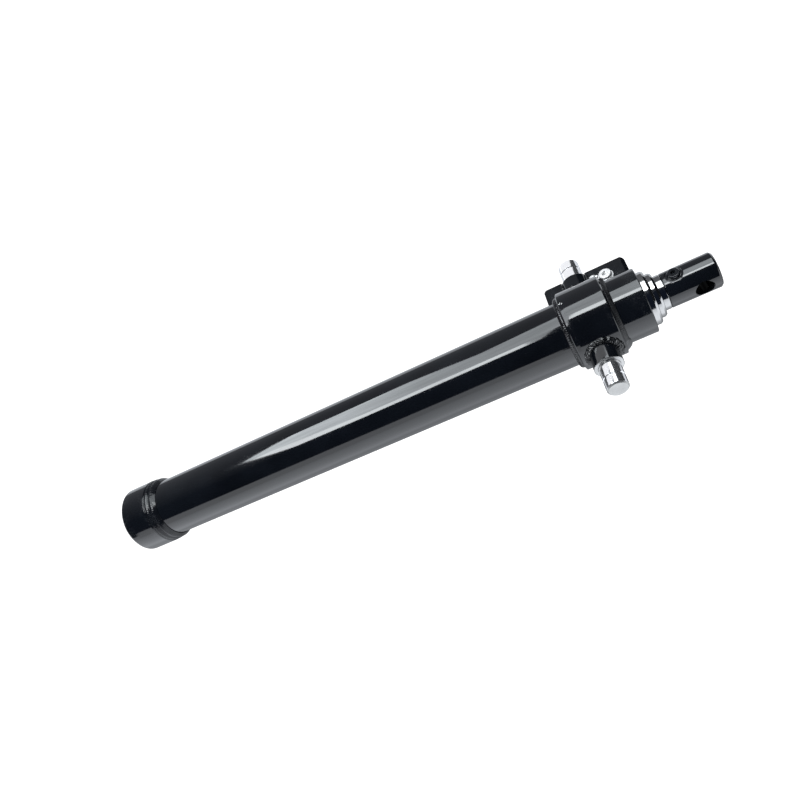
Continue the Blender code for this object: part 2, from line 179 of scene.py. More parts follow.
def paint_material(name, base=(0.0024, 0.0030, 0.0042), rough=(0.055, 0.11), peel=0.045, wear=0.55):
    """Gloss black enamel: orange peel, faint thickness clouds, dust and thin paint on the edges."""
    m, nt, s = new_material(name)
    v = coords(nt)
    clouds = noise_tex(nt, v, 9.0, 5.0, 0.6)
    fine = noise_tex(nt, v, 240.0, 3.0, 0.5)
    peel_n = noise_tex(nt, v, 190.0, 2.0, 0.45)
    long_wave = noise_tex(nt, v, 26.0, 2.0, 0.5)
    colour = mix(nt, grey(nt, clouds, 0.35, 0.7, 0.0, 1.0), base, tuple(1.9 * c for c in base))
    edge = attribute(nt, "edge")
    chips = noise_tex(nt, v, 420.0, 6.0, 0.72)
    patches = noise_tex(nt, v, 38.0, 3.0, 0.6)
    worn = math_node(nt, "MULTIPLY", edge, grey(nt, chips, 0.50, 0.62, 0.0, 1.0))
    worn = math_node(nt, "MULTIPLY", worn, grey(nt, patches, 0.46, 0.6, 0.0, 1.0))
    worn = math_node(nt, "MULTIPLY", worn, wear, clamp=True)
    colour = mix(nt, worn, colour, (0.075, 0.078, 0.082))
    nt.links.new(colour, s.inputs["Base Color"])
    r = grey(nt, clouds, 0.3, 0.75, rough[0], rough[1])
    specks = grey(nt, fine, 0.66, 0.74, 0.0, 0.16)
    r = math_node(nt, "ADD", r, specks)
    r = math_node(nt, "ADD", r, math_node(nt, "MULTIPLY", worn, 0.35), clamp=True)
    nt.links.new(r, s.inputs["Roughness"])
    s.inputs["IOR"].default_value = 1.56
    s.inputs["Coat Weight"].default_value = 0.35
    s.inputs["Coat Roughness"].default_value = 0.05
    s.inputs["Coat IOR"].default_value = 1.5
    height = math_node(
        nt, "ADD", math_node(nt, "MULTIPLY", peel_n, 0.35), math_node(nt, "MULTIPLY", long_wave, 1.6)
    )
    height = math_node(nt, "SUBTRACT", height, math_node(nt, "MULTIPLY", worn, 0.5))
    bump(nt, s, height, peel, 0.0009)
    return m


def weld_material(name, rough=(0.07, 0.22)):
    """Painted weld metal: glossier and darker in the low parts of the ripples, rougher and a little lighter on the
    raised lumps.
    """
    m, nt, s = new_material(name)
    v = coords(nt)
    lumps = noise_tex(nt, v, 130.0, 4.0, 0.6)
    fine = noise_tex(nt, v, 520.0, 3.0, 0.5)
    # the colour follows the bump noise: darker in the low parts of the ripples, lighter on the raised lumps
    colour = ramp(nt, lumps, [(0.3, (0.002, 0.0023, 0.003)), (0.72, (0.008, 0.0085, 0.010))])
    nt.links.new(colour, s.inputs["Base Color"])
    nt.links.new(grey(nt, lumps, 0.3, 0.75, rough[0], rough[1]), s.inputs["Roughness"])
    s.inputs["IOR"].default_value = 1.56
    height = math_node(nt, "ADD", math_node(nt, "MULTIPLY", lumps, 1.0), math_node(nt, "MULTIPLY", fine, 0.2))
    bump(nt, s, height, 0.35, 0.0012)
    return m


def metal_material(name, tint, rough, streak_axis="X", streak=0.18, mottled=0.06, lines=2600.0, bump_d=0.00006):
    """Turned or ground metal: fine rings round the axis, faint stains and a little dust."""
    m, nt, s = new_material(name)
    stretch = {"X": (1.0, 0.04, 0.04), "Y": (0.04, 1.0, 0.04), "Z": (0.04, 0.04, 1.0)}[streak_axis]
    vs = coords(nt, stretch)
    v = coords(nt)
    rings = noise_tex(nt, vs, lines, 2.0, 0.6)
    stain = noise_tex(nt, v, 55.0, 5.0, 0.62)
    fine = noise_tex(nt, v, 700.0, 3.0, 0.6)
    dark = tuple(c * (1 - streak) for c in tint)
    colour = mix(nt, grey(nt, rings, 0.35, 0.65, 0.0, 1.0), dark, tint)
    colour = mix(nt, grey(nt, stain, 0.52, 0.78, 0.0, mottled * 4), colour, tuple(c * 0.62 for c in tint))
    edge = attribute(nt, "edge")
    colour = mix(nt, math_node(nt, "MULTIPLY", edge, 0.25), colour, tuple(min(1.0, c * 1.15) for c in tint))
    nt.links.new(colour, s.inputs["Base Color"])
    s.inputs["Metallic"].default_value = 1.0
    r = grey(nt, stain, 0.3, 0.8, rough[0], rough[1])
    r = math_node(nt, "ADD", r, grey(nt, rings, 0.3, 0.7, 0.0, 0.06))
    r = math_node(nt, "ADD", r, grey(nt, fine, 0.62, 0.8, 0.0, 0.1), clamp=True)
    nt.links.new(r, s.inputs["Roughness"])
    bump(nt, s, rings, 0.6, bump_d)
    return m


def rubber_material(name, base=(0.012, 0.012, 0.013)):
    m, nt, s = new_material(name)
    v = coords(nt)
    bloom = noise_tex(nt, v, 60.0, 5.0, 0.6)
    fine = noise_tex(nt, v, 900.0, 3.0, 0.6)
    colour = mix(nt, grey(nt, bloom, 0.45, 0.8, 0.0, 0.5), base, (0.05, 0.05, 0.052))
    nt.links.new(colour, s.inputs["Base Color"])
    nt.links.new(grey(nt, bloom, 0.3, 0.8, 0.42, 0.62), s.inputs["Roughness"])
    bump(nt, s, fine, 0.4, 0.0002)
    return m


M_PAINT = paint_material("gloss_black_paint")
M_BARE = metal_material("bare_shoulder_y", (0.56, 0.56, 0.55), (0.30, 0.42), "Y", 0.2, 0.08, 1400.0, 0.00008)
M_WELD = weld_material("painted_weld")
M_WELD_DULL = weld_material("painted_weld_dull", (0.30, 0.55))
M_CHROME = metal_material("hard_chrome_x", (0.47, 0.47, 0.465), (0.05, 0.12), "X", 0.08, 0.04, 1800.0, 0.00003)
M_PIN = metal_material("zinc_plate_y", (0.86, 0.86, 0.87), (0.07, 0.12), "Y", 0.05, 0.02, 1500.0, 0.00001)
M_PIN.node_tree.nodes["Principled BSDF"].inputs["Metallic"].default_value = 0.95
M_PIN_END = metal_material("zinc_plate_end", (0.47, 0.47, 0.46), (0.36, 0.5), "Y", 0.08, 0.06, 900.0, 0.00005)
M_PLUG = metal_material("zinc_plate_z", (0.80, 0.80, 0.80), (0.26, 0.38), "Z", 0.12, 0.06, 1500.0, 0.00006)
M_PLUG.node_tree.nodes["Principled BSDF"].inputs["Metallic"].default_value = 0.75
M_SUNK = paint_material("gloss_black_over_bead", rough=(0.10, 0.16))
M_SUNK.node_tree.nodes["Principled BSDF"].inputs["Coat Weight"].default_value = 0.0
M_SUNK.node_tree.nodes["Principled BSDF"].inputs["Specular IOR Level"].default_value = 0.34
M_STEEL = metal_material("bright_steel_x", (0.46, 0.46, 0.47), (0.26, 0.4), "X", 0.2, 0.08, 1600.0, 0.00008)
M_BRONZE = metal_material("bronze_x", (0.56, 0.37, 0.15), (0.3, 0.42), "X", 0.2, 0.08, 1600.0, 0.00008)
M_SEAL = rubber_material("seal_rubber_bloom")
M_WIPER = rubber_material("wiper_rubber_bloom", (0.009, 0.009, 0.01))


# ------------------------------------------------------------------ mesh tools
TO_X = Matrix(((0, 0, 1, 0), (0, 1, 0, 0), (-1, 0, 0, 0), (0, 0, 0, 1)))
TO_NEAR = Matrix(((1, 0, 0, 0), (0, 0, -1, 0), (0, 1, 0, 0), (0, 0, 0, 1)))
TO_FAR = Matrix(((1, 0, 0, 0), (0, 0, 1, 0), (0, -1, 0, 0), (0, 0, 0, 1)))
UP = Matrix.Identity(4)


def add(name, mesh, material, body=None, smooth=28.0, collection=COLL):
    obj = bpy.data.objects.new(name, mesh)
    collection.objects.link(obj)
    mesh.materials.clear()
    for m in material if isinstance(material, (list, tuple)) else (material,):
        mesh.materials.append(m)
    if smooth is not None:
        mesh.polygons.foreach_set("use_smooth", [True] * len(mesh.polygons))
        mesh.set_sharp_from_angle(angle=math.radians(smooth))
    if body:
        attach(obj, body)
    return obj


def rounded(profile, radii, closed, steps=4):
    """The profile with each corner turned into an arc of its radius. Gives the points and how much of an edge each is."""
    n = len(profile)
    pts, edge = [], []
    for i, p in enumerate(profile):
        r = radii[i] if isinstance(radii, (list, tuple)) else radii
        if r <= 0 or (not closed and i in (0, n - 1)):
            pts.append(p)
            edge.append(0.0)
            continue
        a, b, c = Vector(profile[i - 1]), Vector(p), Vector(profile[(i + 1) % n])
        u, w = (a - b), (c - b)
        lu, lw = u.length, w.length
        if lu < 1e-6 or lw < 1e-6:
            pts.append(p)
            edge.append(0.0)
            continue
        u.normalize(), w.normalize()
        angle = math.acos(max(-1.0, min(1.0, u.dot(w))))
        if angle > math.radians(176):
            pts.append(p)
            edge.append(0.0)
            continue
        t = min(r / math.tan(angle / 2), 0.49 * lu, 0.49 * lw)
        r = t * math.tan(angle / 2)
        centre = b + (u + w).normalized() * (r / math.sin(angle / 2))
        start, end = b + u * t, b + w * t
        a0 = math.atan2(start.y - centre.y, start.x - centre.x)
        a1 = math.atan2(end.y - centre.y, end.x - centre.x)
        d = (a1 - a0 + math.pi) % math.tau - math.pi
        for k in range(steps + 1):
            q = a0 + d * k / steps
            pts.append((centre.x + r * math.cos(q), centre.y + r * math.sin(q)))
            edge.append(1.0 if 0 < k < steps else 0.75)
    return pts, edge


def lathe_mesh(name, profile, turn=TO_X, seg=128, radii=0.4, closed=True, steps=4, at=(0, 0, 0), split=None, swell=None):
    """A turned mesh from (radius, along) points in mm, listed down the outside from the top end.
    split cuts long spans so the surface has even faces; swell(angle, radius, along) moves a point in the profile plane."""
    pts, edge = rounded(profile, radii, closed, steps)
    if split:
        fine_p, fine_e = [], []
        n = len(pts)
        for i in range(n if closed else n - 1):
            a, b = pts[i], pts[(i + 1) % n]
            fine_p.append(a)
            fine_e.append(edge[i])
            length = math.hypot(b[0] - a[0], b[1] - a[1])
            cuts = int(length // split)
            for k in range(1, cuts + 1):
                f = k / (cuts + 1)
                fine_p.append((a[0] + (b[0] - a[0]) * f, a[1] + (b[1] - a[1]) * f))
                fine_e.append(0.0)
        if not closed:
            fine_p.append(pts[-1])
            fine_e.append(edge[-1])
        pts, edge = fine_p, fine_e
    bm = bmesh.new()
    layer = bm.verts.layers.float.new("edge")
    rows = []
    for (r, z), e in zip(pts, edge):
        if r < 1e-6:
            v = bm.verts.new((0, 0, z * MM))
            rows.append([v])
            continue
        row = []
        for k in range(seg):
            t = math.tau * k / seg
            rr, zz = (r, z) if swell is None else swell(t, r, z)
            v = bm.verts.new((rr * math.cos(t) * MM, rr * math.sin(t) * MM, zz * MM))
            v[layer] = e
            row.append(v)
        rows.append(row)
    n = len(rows)
    for i in range(n if closed else n - 1):
        a, b = rows[i], rows[(i + 1) % n]
        for k in range(seg):
            j = (k + 1) % seg
            if len(a) == 1 and len(b) == 1:
                continue
            if len(a) == 1:
                bm.faces.new((a[0], b[k], b[j]))
            elif len(b) == 1:
                bm.faces.new((a[k], b[0], a[j]))
            else:
                bm.faces.new((a[k], b[k], b[j], a[j]))
    bmesh.ops.recalc_face_normals(bm, faces=bm.faces)
    bmesh.ops.transform(bm, matrix=Matrix.Translation(Vector(at) * MM) @ turn, verts=bm.verts)
    mesh = bpy.data.meshes.new(name)
    bm.to_mesh(mesh)
    bm.free()
    return mesh


def rod_cutter(name, radius, start, end, seg=64):
    a, b = Vector(start) * MM, Vector(end) * MM
    bm = bmesh.new()
    bmesh.ops.create_cone(bm, cap_ends=True, segments=seg, radius1=radius * MM, radius2=radius * MM, depth=(b - a).length)
    mesh = bpy.data.meshes.new(name)
    bm.to_mesh(mesh)
    bm.free()
    mesh.transform(Matrix.Translation((a + b) / 2) @ (b - a).to_track_quat("Z", "Y").to_matrix().to_4x4())
    return helper(name, mesh)


def helper(name, mesh):
    obj = bpy.data.objects.new(name, mesh)
    HELPERS.objects.link(obj)
    obj.hide_render = True
    obj.hide_viewport = True
    return obj


def cut(obj, *cutters, operation="DIFFERENCE"):
    for c in cutters:
        c.hide_viewport = False
        m = obj.modifiers.new("cut", "BOOLEAN")
        m.operation, m.solver, m.object = operation, "EXACT", c
    bpy.context.view_layer.update()
    graph = bpy.context.evaluated_depsgraph_get()
    mesh = bpy.data.meshes.new_from_object(obj.evaluated_get(graph))
    obj.modifiers.clear()
    old = obj.data
    slots = list(old.materials)
    obj.data = mesh
    mesh.materials.clear()
    for s in slots:
        mesh.materials.append(s)
    bpy.data.meshes.remove(old)
    for c in cutters:
        c.hide_viewport = True
    return obj


def bevelled(obj, width, segments=3, angle=30.0):
    """A bevel on the sharp edges."""
    m = obj.modifiers.new("bevel", "BEVEL")
    m.width = width * MM
    m.segments = segments
    m.limit_method = "ANGLE"
    m.angle_limit = math.radians(angle)
    m.harden_normals = False
    m.miter_outer = "MITER_ARC"
    bpy.context.view_layer.update()
    graph = bpy.context.evaluated_depsgraph_get()
    mesh = bpy.data.meshes.new_from_object(obj.evaluated_get(graph))
    obj.modifiers.clear()
    slots = list(obj.data.materials)
    obj.data = mesh
    mesh.materials.clear()
    for s in slots:
        mesh.materials.append(s)
    return obj


def shade(obj, angle=28.0):
    me = obj.data
    me.polygons.foreach_set("use_smooth", [True] * len(me.polygons))
    me.set_sharp_from_angle(angle=math.radians(angle))


def mark_edges(obj, reach_deg=24.0):
    """Writes the edge attribute from the angle between the faces round each point."""
    me = obj.data
    bm = bmesh.new()
    bm.from_mesh(me)
    bm.normal_update()
    values = np.zeros(len(bm.verts), np.float32)
    for v in bm.verts:
        worst = 0.0
        for e in v.link_edges:
            if len(e.link_faces) == 2:
                worst = max(worst, math.degrees(e.calc_face_angle(0.0)))
        values[v.index] = min(1.0, max(0.0, (worst - 8.0) / reach_deg))
    bm.free()
    a = me.attributes.get("edge") or me.attributes.new("edge", "FLOAT", "POINT")
    a.data.foreach_set("value", values)


def weld_bead(name, path, normals, width, height, pitch, body, seed=0, closed=True, material=None, sink=0.25, sizes=None, lumpy=0.10, ripples=0.26):
    """A weld run along a path: a low crowned strip whose ripples lap over one another along it."""
    count = len(path)
    total = sum((path[(i + 1) % count] - path[i]).length for i in range(count if closed else count - 1))
    bm = bmesh.new()
    bm.verts.layers.float.new("edge")
    across = 9
    rows, s = [], 0.0
    for i in range(count):
        prev = path[(i - 1) % count] if closed or i > 0 else path[i]
        nxt = path[(i + 1) % count] if closed or i < count - 1 else path[i]
        along = (nxt - prev).normalized()
        up = normals[i].normalized()
        side = along.cross(up).normalized()
        up = side.cross(along).normalized()
        place = path[i]
        wob = noise.noise(Vector((s * 0.09 / MM * 0.02 + seed * 7.1, seed, 0.3)))
        taper = sizes[i] if sizes else 1.0
        if not closed:
            d = min(s, total - s)
            taper = min(1.0, 0.15 + d / (width * MM * 0.8))
        row = []
        for k in range(across):
            f = k / (across - 1) * 2 - 1
            lag = (1 - f * f) * 0.55
            phase = (s / (pitch * MM)) - lag
            saw = phase - math.floor(phase)
            ripple = (saw ** 1.6) * ripples * (1 - f * f)
            crown = math.sqrt(max(0.0, 1 - f * f))
            h = (crown * (0.74 + 0.16 * wob) + ripple - sink) * height * taper
            w = f * width * 0.5 * (1 + 0.07 * wob + 0.05 * math.sin(phase * math.tau)) * taper
            rough = noise.noise(place / MM * 0.35 + Vector((f * 3, seed * 3.3, 0))) * lumpy * height
            row.append(bm.verts.new(place + side * w * MM + up * (h + rough) * MM))
        low = [bm.verts.new(place + side * (-1 if k == 0 else 1) * width * 0.46 * MM * taper - up * height * 0.9 * MM) for k in (0, 1)]
        rows.append([low[0]] + row + [low[1]])
        s += (nxt - place).length
    last = count if closed else count - 1
    for i in range(last):
        a, b = rows[i], rows[(i + 1) % count]
        m = len(a)
        for k in range(m):
            j = (k + 1) % m
            bm.faces.new((a[k], a[j], b[j], b[k]))
    if not closed:
        bm.faces.new(list(reversed(rows[0])))
        bm.faces.new(rows[-1])
    bmesh.ops.recalc_face_normals(bm, faces=bm.faces)
    mesh = bpy.data.meshes.new(name)
    bm.to_mesh(mesh)
    bm.free()
    return add(name, mesh, material or M_WELD, body, smooth=60.0)


def ring_path(x, r, count=720, start=0.0):
    pts, nor = [], []
    for k in range(count):
        t = math.tau * k / count + start
        pts.append(Vector((x, r * math.cos(t), r * math.sin(t))) * MM)
        nor.append(Vector((0, math.cos(t), math.sin(t))))
    return pts, nor


def hex_cutter(name, flats, x, y, top, depth):
    r = flats / math.sqrt(3)
    return rod_cutter(name, r, (x, y, top - depth), (x, y, top + 3), seg=6)


def head_bore(end, bore):
    return [
        (bore, end - 89.3), (bore + 2.6, end - 89.3), (bore + 2.6, end - 82.7), (bore, end - 82.7),
        (bore, end - 26.3), (bore + 2.3, end - 26.3), (bore + 2.3, end - 21.7), (bore, end - 21.7),
        (bore, end - 1.2), (bore + 1.2, end),
    ]


def base_lines(start, head_end):
    front = head_end - 89.0 - 0.5 - 1080.0
    return start + 8.0, start + 38.0, front - 12.0, front


def tube_outside(end, start, radius, lines, bevel):
    g0, g1, c0, c1 = lines
    g = 0.3
    return bevel + [
        (radius, c1 + g), (radius - 1.7, c1 + g), (radius - 1.7, c0 - g), (radius, c0 - g),
        (radius, g1 + g), (radius - 1.2, g1 + g), (radius - 1.2, g0 - g), (radius, g0 - g),
        (radius, start + 1.5), (radius - 1.5, start),
    ]


# ------------------------------------------------------------------ barrel
barrel = add(
    "barrel_tube_look",
    lathe_mesh(
        "barrel_tube_look",
        [(BARREL_R - 1.6, BARREL_END), (BARREL_R, BARREL_END - 1.6), (BARREL_R, BARREL_START), (BARREL_BORE, BARREL_START)]
        + head_bore(BARREL_END, BARREL_BORE),
        radii=[0.7, 0.9, 0, 0] + [0] * 8 + [0.3, 0.3],
        seg=160,
        split=40,
    ),
    M_PAINT,
    "barrel",
)
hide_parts("barrel_tube")


def cap_swell(t, r, z):
    """The cap's weld: two runs of ripples round the joint."""
    for mid, half, high in ((-1126.5, 6.0, 80.2), (-1114.0, 8.0, 78.6)):
        if abs(z - mid) < half and r > 72.5:
            w = math.cos(0.5 * math.pi * (z - mid) / half)
            phase = t * 79 / 4.4
            saw = (phase + mid - (z - mid) * 0.05) % 1.0
            r += w * (0.42 * (saw ** 1.5) - 0.34) + 0.16 * w * noise.noise(Vector((math.cos(t) * 9, math.sin(t) * 9, z * 0.3)))
    return min(r, CAP_R - 0.05), z


cap = add(
    "base_cap_look",
    lathe_mesh(
        "base_cap_look",
        [
            (BARREL_R + 0.3, -1103.4), (71.2, -1103.4), (73.4, -1106.0), (76.4, -1109.4), (78.4, -1113.0), (78.3, -1116.6), (76.9, -1119.6),
            (76.9, -1120.8), (79.0, -1123.0), (80.0, -1126.4), (79.6, -1129.6), (78.3, -1131.6), (78.6, -1132.6), (CAP_R, -1134.2),
            (CAP_R, CAP_END + 8.5), (CAP_R - 8.5, CAP_END), (0.0, CAP_END), (0.0, -1118.0),
            (59.8, -1118.0), (BARREL_BORE - 0.3, -1120.2), (BARREL_BORE - 0.3, BARREL_START - 0.3), (BARREL_R + 0.3, BARREL_START - 0.3),
        ],
        radii=[0, 0.4, 1.5, 2, 2.4, 2.4, 0.6, 0.6, 1.6, 2.0, 1.6, 0.5, 0.6, 1.4, 6.5, 7.0, 0, 0, 0, 0, 0, 0],
        seg=480,
        split=30,
        swell=cap_swell,
    ),
    (M_PAINT, M_SUNK),
    "barrel",
)
for p in cap.data.polygons:
    if -1132.8 * MM < p.center.x < -1102.0 * MM:
        p.material_index = 1
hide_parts("base_cap")

band = add(
    "trunnion_band_look",
    lathe_mesh(
        "trunnion_band_look",
        [
            (BARREL_R + 0.3, 50.0), (75.6, 49.0), (82.8, 45.0), (84.4, 45.0), (BAND_R, 43.4),
            (BAND_R, -43.4), (84.4, -45.0), (82.8, -45.0), (75.6, -49.0), (BARREL_R + 0.3, -50.0),
        ],
        radii=[0, 1, 0.6, 0.8, 1.0, 1.0, 0.8, 0.6, 1, 0],
        seg=192,
        split=12,
    ),
    M_PAINT,
    "barrel",
)
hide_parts("trunnion_band")

def part_ring(x, r, a0, a1, count, tilt):
    pts, nor = [], []
    for k in range(count + 1):
        t = a0 + (a1 - a0) * k / count
        pts.append(Vector((x, r * math.cos(t), r * math.sin(t))) * MM)
        nor.append(Vector((tilt, math.cos(t), math.sin(t))).normalized())
    return pts, nor


pts, nor = ring_path(-50.2, 74.9, 900)
nor = [Vector((-0.72, n.y, n.z)).normalized() for n in nor]
w = weld_bead("band_weld_base", list(reversed(pts)), list(reversed(nor)), 13.0, 4.0, 4.4, "barrel", seed=3)
pts, nor = part_ring(50.6, 74.9, math.radians(-18), math.radians(196), 560, 0.72)
w = weld_bead("band_weld_head", pts, nor, 14.5, 3.0, 4.4, "barrel", seed=5, closed=False, material=M_WELD_DULL)
pts, nor = part_ring(50.2, 75.6, math.radians(178), math.radians(360), 360, 0.62)
w = weld_bead("band_weld_head_low", pts, nor, 21.0, 4.2, 9.0, "barrel", seed=6, closed=False, material=M_PAINT, lumpy=0.06, ripples=0.02)

# ------------------------------------------------------------------ trunnions
band_cut = helper(
    "band_cut", lathe_mesh("band_cut", [(0.0, 57.4), (BAND_R + 0.3, 57.4), (BAND_R + 0.3, -57.4), (0.0, -57.4)], seg=192, radii=0, closed=False)
)
for side, turn, sign in (("near", TO_NEAR, -1.0), ("far", TO_FAR, 1.0)):
    boss = add(
        f"trunnion_boss_{side}_look",
        lathe_mesh(
            f"trunnion_boss_{side}_look",
            [
                (PIN_R + 0.3, SHOULDER - 0.4), (PIN_R + 0.5, SHOULDER), (BOSS_R - 1.8, SHOULDER), (BOSS_R, SHOULDER - 1.8), (BOSS_R, 90.0), (BOSS_R, 60.0), (PIN_R + 0.3, 60.0),
            ],
            turn=turn,
            radii=[0.0, 0.2, 0.8, 0.9, 0, 0, 0],
            seg=128,
            split=6,
        ),
        (M_PAINT, M_BARE),
    )
    cut(boss, band_cut)
    shade(boss)
    mark_edges(boss)
    for p in boss.data.polygons:
        if abs(p.center.y) > (SHOULDER - 1.0) * MM:
            p.material_index = 1
    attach(boss, "barrel")
    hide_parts(f"trunnion_boss_{side}")
    # root weld: follows the saddle where the boss meets the band
    pts, nor = [], []
    sizes = []
    for k in range(720):
        t = math.tau * k / 720
        head = max(0.0, math.cos(t)) ** 1.5
        r = BOSS_R + 3.4 + 2.6 * head
        x, z = r * math.cos(t), r * math.sin(t)
        y = math.sqrt(BAND_R**2 - z * z)
        pts.append(Vector((x, sign * (y + 1.6 + 0.6 * head), z)) * MM)
        nor.append(Vector((math.cos(t), sign * (y / BAND_R) * 0.9, math.sin(t) + 0.35 * z / BAND_R)).normalized())
        sizes.append(1.0 + 0.35 * head)
    if sign > 0:
        pts, nor, sizes = list(reversed(pts)), list(reversed(nor)), list(reversed(sizes))
    w = weld_bead(f"boss_weld_{side}", pts, nor, 15.5, 6.8, 15.0, "barrel", seed=11 if sign < 0 else 17, sizes=sizes, lumpy=0.42, ripples=0.16, material=M_WELD)

    pin = add(
        f"trunnion_pin_{side}_look",
        lathe_mesh(
            f"trunnion_pin_{side}_look",
            [
                (0.0, PIN_TIP), (PIN_R - 3.2, PIN_TIP), (PIN_R, PIN_TIP - 3.6), (PIN_R, PIN_RING + 1.5), (PIN_R - 1.2, PIN_RING + 0.4),
                (PIN_R - 1.2, PIN_RING - 0.4), (PIN_R, PIN_RING - 1.5), (PIN_R, PIN_ROOT), (0.0, PIN_ROOT),
            ],
            turn=turn,
            radii=[0, 1.2, 1.4, 0.2, 0.1, 0.1, 0.2, 0.2, 0],
            closed=False,
            seg=128,
            split=10,
        ),
        (M_PIN, M_PIN_END),
        "barrel",
    )
    for p in pin.data.polygons:
        c = p.center
        if abs(c.y) > (PIN_TIP - 3.2) * MM and abs(p.normal.y) > 0.35:
            p.material_index = 1
    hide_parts(f"trunnion_pin_{side}")


# ------------------------------------------------------------------ port block
def block_mesh():
    x0, x1, y1, z0, z1 = BLOCK
    y0, radius, chamfer, segs = 30.0, 9.0, 1.7, 10

    def outline(inset):
        r, pts = radius - inset, []
        for cx, cy, start in (
            (x1 - radius, y1 - radius, 0.0), (x0 + radius, y1 - radius, 0.5 * math.pi),
            (x0 + radius, y0 + radius, math.pi), (x1 - radius, y0 + radius, 1.5 * math.pi),
        ):
            for i in range(segs + 1):
                q = start + 0.5 * math.pi * i / segs
                pts.append((cx + r * math.cos(q), cy + r * math.sin(q)))
        return pts

    rings = []
    for k in range(5):
        q = 0.5 * math.pi * k / 4
        rings.append((z0 + chamfer * (1 - math.sin(q)), chamfer * (1 - math.cos(q)), 1.0 if k in (1, 2, 3) else 0.6))
    rings = [(z0 + chamfer * (1 - math.cos(0.5 * math.pi * k / 4)), chamfer * (1 - math.sin(0.5 * math.pi * k / 4)), 0.9) for k in range(5)]
    rings += [(z1 - chamfer * (1 - math.cos(0.5 * math.pi * k / 4)), chamfer * (1 - math.sin(0.5 * math.pi * k / 4)), 0.9) for k in range(4, -1, -1)]
    bm = bmesh.new()
    loops = [[bm.verts.new((px * MM, py * MM, z * MM)) for px, py in outline(inset)] for z, inset, _ in rings]
    n = len(loops[0])
    for low, high in zip(loops, loops[1:]):
        for i in range(n):
            j = (i + 1) % n
            bm.faces.new((low[i], low[j], high[j], high[i]))
    bm.faces.new(list(reversed(loops[0])))
    bm.faces.new(loops[-1])
    bmesh.ops.recalc_face_normals(bm, faces=bm.faces)
    mesh = bpy.data.meshes.new("port_block_look")
    bm.to_mesh(mesh)
    bm.free()
    return mesh


block = add("port_block_look", block_mesh(), M_PAINT)
barrel_cut = helper(
    "barrel_cut", lathe_mesh("barrel_cut", [(0.0, 131.0), (BARREL_R + 0.3, 131.0), (BARREL_R + 0.3, -91.0), (0.0, -91.0)], seg=160, radii=0, closed=False)
)
boss_cut = helper(
    "boss_cut",
    lathe_mesh("boss_cut", [(0.0, 140.0), (BOSS_R + 0.3, 140.0), (BOSS_R + 0.3, 50.0), (0.0, 50.0)], turn=TO_FAR, seg=128, radii=0, closed=False),
)
slope_mesh = bpy.data.meshes.new("slope_cut")
slope_mesh.from_pydata(
    [(px * MM, py * MM, pz * MM) for py in (20.0, 140.0) for px, pz in ((BLOCK[1] - 9.0, BLOCK[4] + 0.6), (BLOCK[1] + 2.0, BLOCK[4] + 0.6), (BLOCK[1] + 2.0, BLOCK[4] - 8.0))],
    [],
    [(0, 1, 2), (5, 4, 3), (0, 3, 4, 1), (1, 4, 5, 2), (2, 5, 3, 0)],
)
slope_bm = bmesh.new()
slope_bm.from_mesh(slope_mesh)
bmesh.ops.recalc_face_normals(slope_bm, faces=slope_bm.faces)
slope_bm.to_mesh(slope_mesh)
slope_bm.free()
slope_cut = helper("slope_cut", slope_mesh)
cut(block, band_cut, barrel_cut, boss_cut, slope_cut, rod_cutter("port_cut", PORT_R, (PORT_X, PORT_Y, -12), (PORT_X, PORT_Y, 20)))
shade(block)
mark_edges(block)
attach(block, "barrel")
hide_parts("port_block")

# weld runs that hold the block: along the barrel and band on its upper face, and down its two ends
def block_weld(name, pts, nor, width, height, seed):
    fine_p, fine_n = [], []
    for i in range(len(pts) - 1):
        a, b = Vector(pts[i]), Vector(pts[i + 1])
        steps = max(2, int((b - a).length / 0.7))
        for k in range(steps):
            f = k / steps
            fine_p.append((a + (b - a) * f) * MM)
            fine_n.append((Vector(nor[i]) * (1 - f) + Vector(nor[i + 1]) * f).normalized())
    fine_p.append(Vector(pts[-1]) * MM)
    fine_n.append(Vector(nor[-1]).normalized())
    w = weld_bead(name, fine_p, fine_n, width, height, 4.4, "barrel", seed=seed, closed=False)
    return w


def on_barrel(z, r=BARREL_R):
    return math.sqrt(r * r - z * z)


zt = BLOCK[4]
yb, yc = on_barrel(zt), on_barrel(zt, BAND_R)
up_out = (0, -0.55, 0.83)
block_weld("block_weld_top_head", [(52.5, yb + 1.4, zt + 1.0), (104.0, yb + 1.4, zt + 1.0)], [up_out] * 2, 9.0, 3.8, 21)
block_weld("block_weld_top_band", [(34.0, yc + 1.2, zt + 1.0), (44.0, yc + 1.2, zt + 1.0)], [up_out] * 2, 8.0, 3.4, 23)
block_weld("block_weld_top_base", [(-64.0, yb + 1.4, zt + 1.0), (-52.5, yb + 1.4, zt + 1.0)], [up_out] * 2, 9.0, 3.8, 25)
zb = BLOCK[3]
ybb, ybc = on_barrel(zb), on_barrel(zb, BAND_R)
dn_out = (0, -0.35, -0.93)
block_weld("block_weld_low_head", [(52.5, ybb + 1.0, zb - 0.6), (104.0, ybb + 1.0, zb - 0.6)], [dn_out] * 2, 9.0, 3.6, 27)
block_weld("block_weld_low_band", [(-44.0, ybc + 1.0, zb - 0.6), (44.0, ybc + 1.0, zb - 0.6)], [dn_out] * 2, 8.0, 3.4, 29)
block_weld("block_weld_low_base", [(-64.0, ybb + 1.0, zb - 0.6), (-52.5, ybb + 1.0, zb - 0.6)], [dn_out] * 2, 9.0, 3.6, 31)
